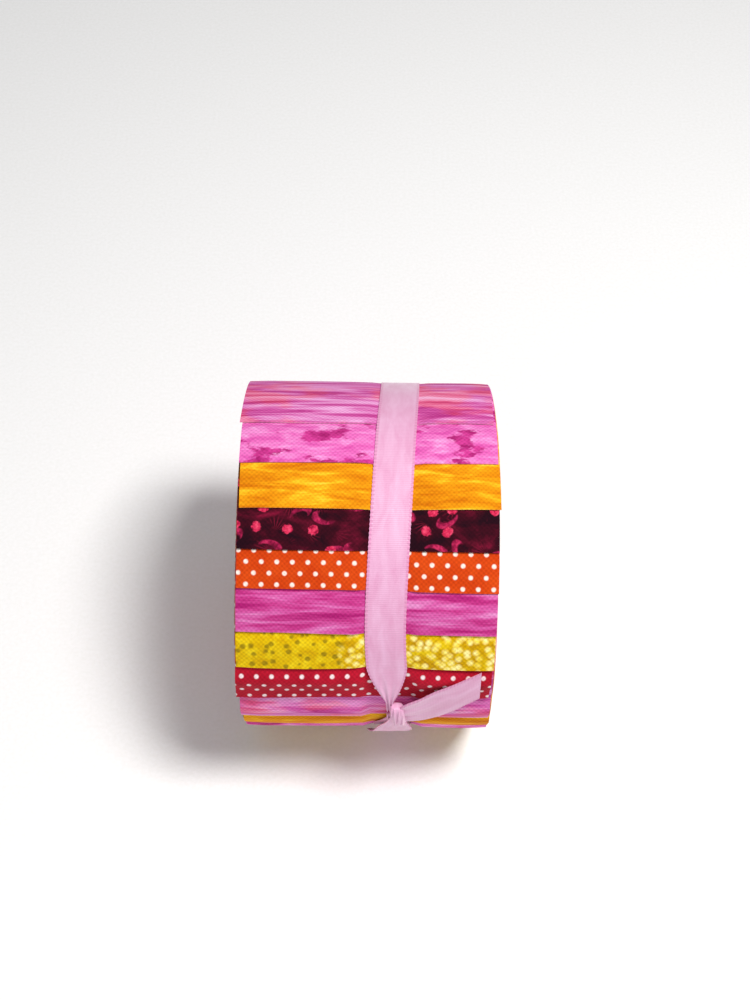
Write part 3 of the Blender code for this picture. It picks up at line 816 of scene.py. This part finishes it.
def knot_sheet():
    """The knot: a boxy ellipsoid whose surface rises and falls in pleats along the wrap."""
    tall = np.linspace(-math.pi / 2, math.pi / 2, 61)[:, None]
    turn = np.linspace(0, 2 * math.pi, 97)[None, :]
    x = rounded(np.cos(tall), 0.45) * rounded(np.cos(turn), 0.6)
    z = rounded(np.cos(tall), 0.55) * rounded(np.sin(turn), 0.6)
    y = np.broadcast_to(rounded(np.sin(tall), 0.9), x.shape)
    across_mm = x * KNOT_HALF[0] / MM * (1 - 0.18 * (1 - y * y)) - 0.5 * y
    phase = 2 * math.pi * across_mm / PLEAT_WAVE_MM
    pleat = 0.10 * np.sin(phase + 0.9 * y) + 0.05 * np.sin(1.7 * phase - 1.6 * y + 1.0)
    centre = np.array(KNOT_DEG - 0.6)
    base = surface(centre, np.array(KNOT_ACROSS)) - BED_LIGHT + 0.0003
    deg = centre + np.degrees(y * KNOT_HALF[1] / ROLL_RADIUS)
    radius = base + (1 + z * (1 + pleat * (z > 0))) * KNOT_HALF[2]
    points = place(deg, radius, KNOT_ACROSS + across_mm * MM)
    rows, columns = x.shape[0], x.shape[1] - 1
    number = np.arange(rows * columns).reshape(rows, columns)
    after = np.roll(number, -1, axis=1)
    faces = np.stack([number[:-1], after[:-1], after[1:], number[1:]], axis=-1).reshape(-1, 4)[:, ::-1]
    flat = np.stack([across_mm * 1.6, deg], axis=-1)[:, :-1]
    return Sheet(points[:, :-1].reshape(-1, 3), faces, flat.reshape(-1, 2), np.zeros(rows * columns))


# %% [markdown]
# Each free end is given by a few lines across it, from the knot to the cut. A line has a point on
# each edge of the ribbon, as a place along the roll and an angle, and a height above the cloth. A
# smooth curve runs through them. Creases start at the knot and fade out towards the cut.

# %% Free ends
RIGHT_END = np.array([
    (6.8, -0.6, 6.8, -6.0, 1.0), (8.4, 1.6, 8.4, -8.0, 1.2), (10.2, 4.0, 10.2, -9.4, 1.3), (13.4, 6.4, 13.4, -8.4, 1.3),
    (17.0, 9.8, 17.0, -5.0, 1.3), (21.0, 12.8, 21.0, -0.8, 1.3), (25.0, 16.2, 25.0, 4.2, 1.4), (28.2, 18.8, 28.2, 7.6, 1.6),
])
LOWER_END = np.array([
    (9.2, -5.0, 6.4, -5.0, 1.1), (11.0, -11.0, 5.0, -10.6, 1.2), (12.0, -17.5, 3.2, -16.5, 1.1),
    (11.9, -25.0, 2.1, -23.5, 1.0), (11.0, -33.0, 1.2, -30.5, 1.0), (10.0, -40.5, 0.4, -37.0, 1.1),
])


def end_sheet(lines, creases):
    """A free end: cross lines carried along a smooth curve, with creases that fade towards the cut."""
    known = np.linspace(0.0, 1.0, len(lines))
    t = np.linspace(0.0, 1.0, 73)
    first_mm, first_deg, second_mm, second_deg, height_mm = through(known, lines, t).T[:, None, :]
    t = t[None, :]
    side = np.linspace(1.0, 0.0, 25)[:, None]
    across = (first_mm + (second_mm - first_mm) * side) * MM
    deg = first_deg + (second_deg - first_deg) * side
    ripple = (0.30 * np.sin(creases * math.pi * side + 1.5 * t) + 0.12 * np.sin(2.3 * creases * math.pi * side)) * (1 - t) ** 1.5
    wave = 0.18 * np.sin(2.6 * math.pi * t + 2.0 * side) * smooth(t / 0.3)
    radius = outline(deg) + (height_mm + 0.35 + ripple + wave) * MM
    middle_mm, middle_arc = (first_mm + second_mm) / 2, 0.81 * (first_deg + second_deg) / 2
    length = np.cumsum(np.append(0.0, np.hypot(np.diff(middle_mm[0]), np.diff(middle_arc[0]))))[None, :]
    flat = np.stack(np.broadcast_arrays((side - 0.5) * 10.0, length), axis=-1)
    return closed_sheet(place(deg, radius + RIBBON_THICK, across), place(deg, radius, across), flat)


# %% [markdown]
# ## Ribbon satin
#
# Polyester satin: long smooth floats on the face give a soft gloss, brighter across the ribbon than
# along it, and a stitched edge of tiny loops gives a fine beaded line. Cross ribs every half
# millimetre are drawn a little coarser than the real weave, to show. Soft lengthwise streaks of
# painted sheen lie in the colour, and the ribs and loops are painted lighter and darker with their
# relief, as painted shade.

# %% Ribbon satin
RIB_MM = 0.5


def ribbon_satin():
    """Pink satin with streaks of painted sheen, fine cross ribs with painted shade, and a beaded edge."""
    material, tree, shader = new_material("polyester_satin_ribbon")
    flat = add(tree, "ShaderNodeUVMap", uv_map="cloth_mm").outputs[0]
    split = add(tree, "ShaderNodeSeparateXYZ", {0: flat})
    rib = maths(tree, "SINE", maths(tree, "MULTIPLY", split.outputs[1], 2 * math.pi / RIB_MM))
    off = maths(tree, "ABSOLUTE", split.outputs[0])
    edge = add(tree, "ShaderNodeMapRange", {"Value": off, "From Min": 4.25, "From Max": 4.55}).outputs[0]
    bead = maths(tree, "SINE", maths(tree, "MULTIPLY", split.outputs[1], 2 * math.pi / EDGE_LOOP_MM))
    relief = maths(tree, "MULTIPLY_ADD", maths(tree, "MULTIPLY", bead, edge), 2.0, rib)
    # Painted sheen: soft lengthwise streaks of lighter and darker pink stand for the satin's gloss.
    satin = streaks(tree, flat, 2.5, 9, [(0.3, "#DC9CC0"), (0.7, "#E6B2D2")])
    edged = blended(tree, edge, satin, linear("#DA92BA"))
    # Painted shade: the ribs and edge loops are painted lighter and darker with their relief.
    light = add(tree, "ShaderNodeMapRange", {"Value": relief, "From Min": -3.0, "From Max": 3.0, "To Min": 0.88, "To Max": 1.12}).outputs[0]
    shaded = add(tree, "ShaderNodeHueSaturation", {"Color": edged, "Value": light}).outputs[0]
    bump = add(tree, "ShaderNodeBump", {"Height": relief, "Strength": 0.35, "Distance": 0.00004}).outputs[0]
    tree.links.new(shaded, shader.inputs["Base Color"])
    tree.links.new(bump, shader.inputs["Normal"])
    shader.inputs["Roughness"].default_value = 0.36
    shader.inputs["Sheen Weight"].default_value = 0.2
    shader.inputs["Anisotropic"].default_value = 0.5
    return material


ribbon_parts = [loop_sheet(), knot_sheet(), end_sheet(RIGHT_END, 5.0), end_sheet(LOWER_END, 4.0)]
ribbon = make_object("satin_ribbon_tie", joined(ribbon_parts), ribbon_satin())
print(f"ribbon: {2 * len(ribbon.data.polygons)} triangles")

# %% [markdown]
# ## Putting the pieces on the body
#
# Every piece rides on the one body and stands for its CAD solid, which is hidden. Strip 1 lies
# outermost and also stands for the turns inside.

# %% Attaching the pieces
for index, piece in enumerate(strips):
    name = f"strip_{index + 1:02d}"
    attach(piece, "root")
    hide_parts(*((name, "inner_turns") if index == 0 else (name,)))
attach(ribbon, "root")
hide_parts("ribbon_tie")
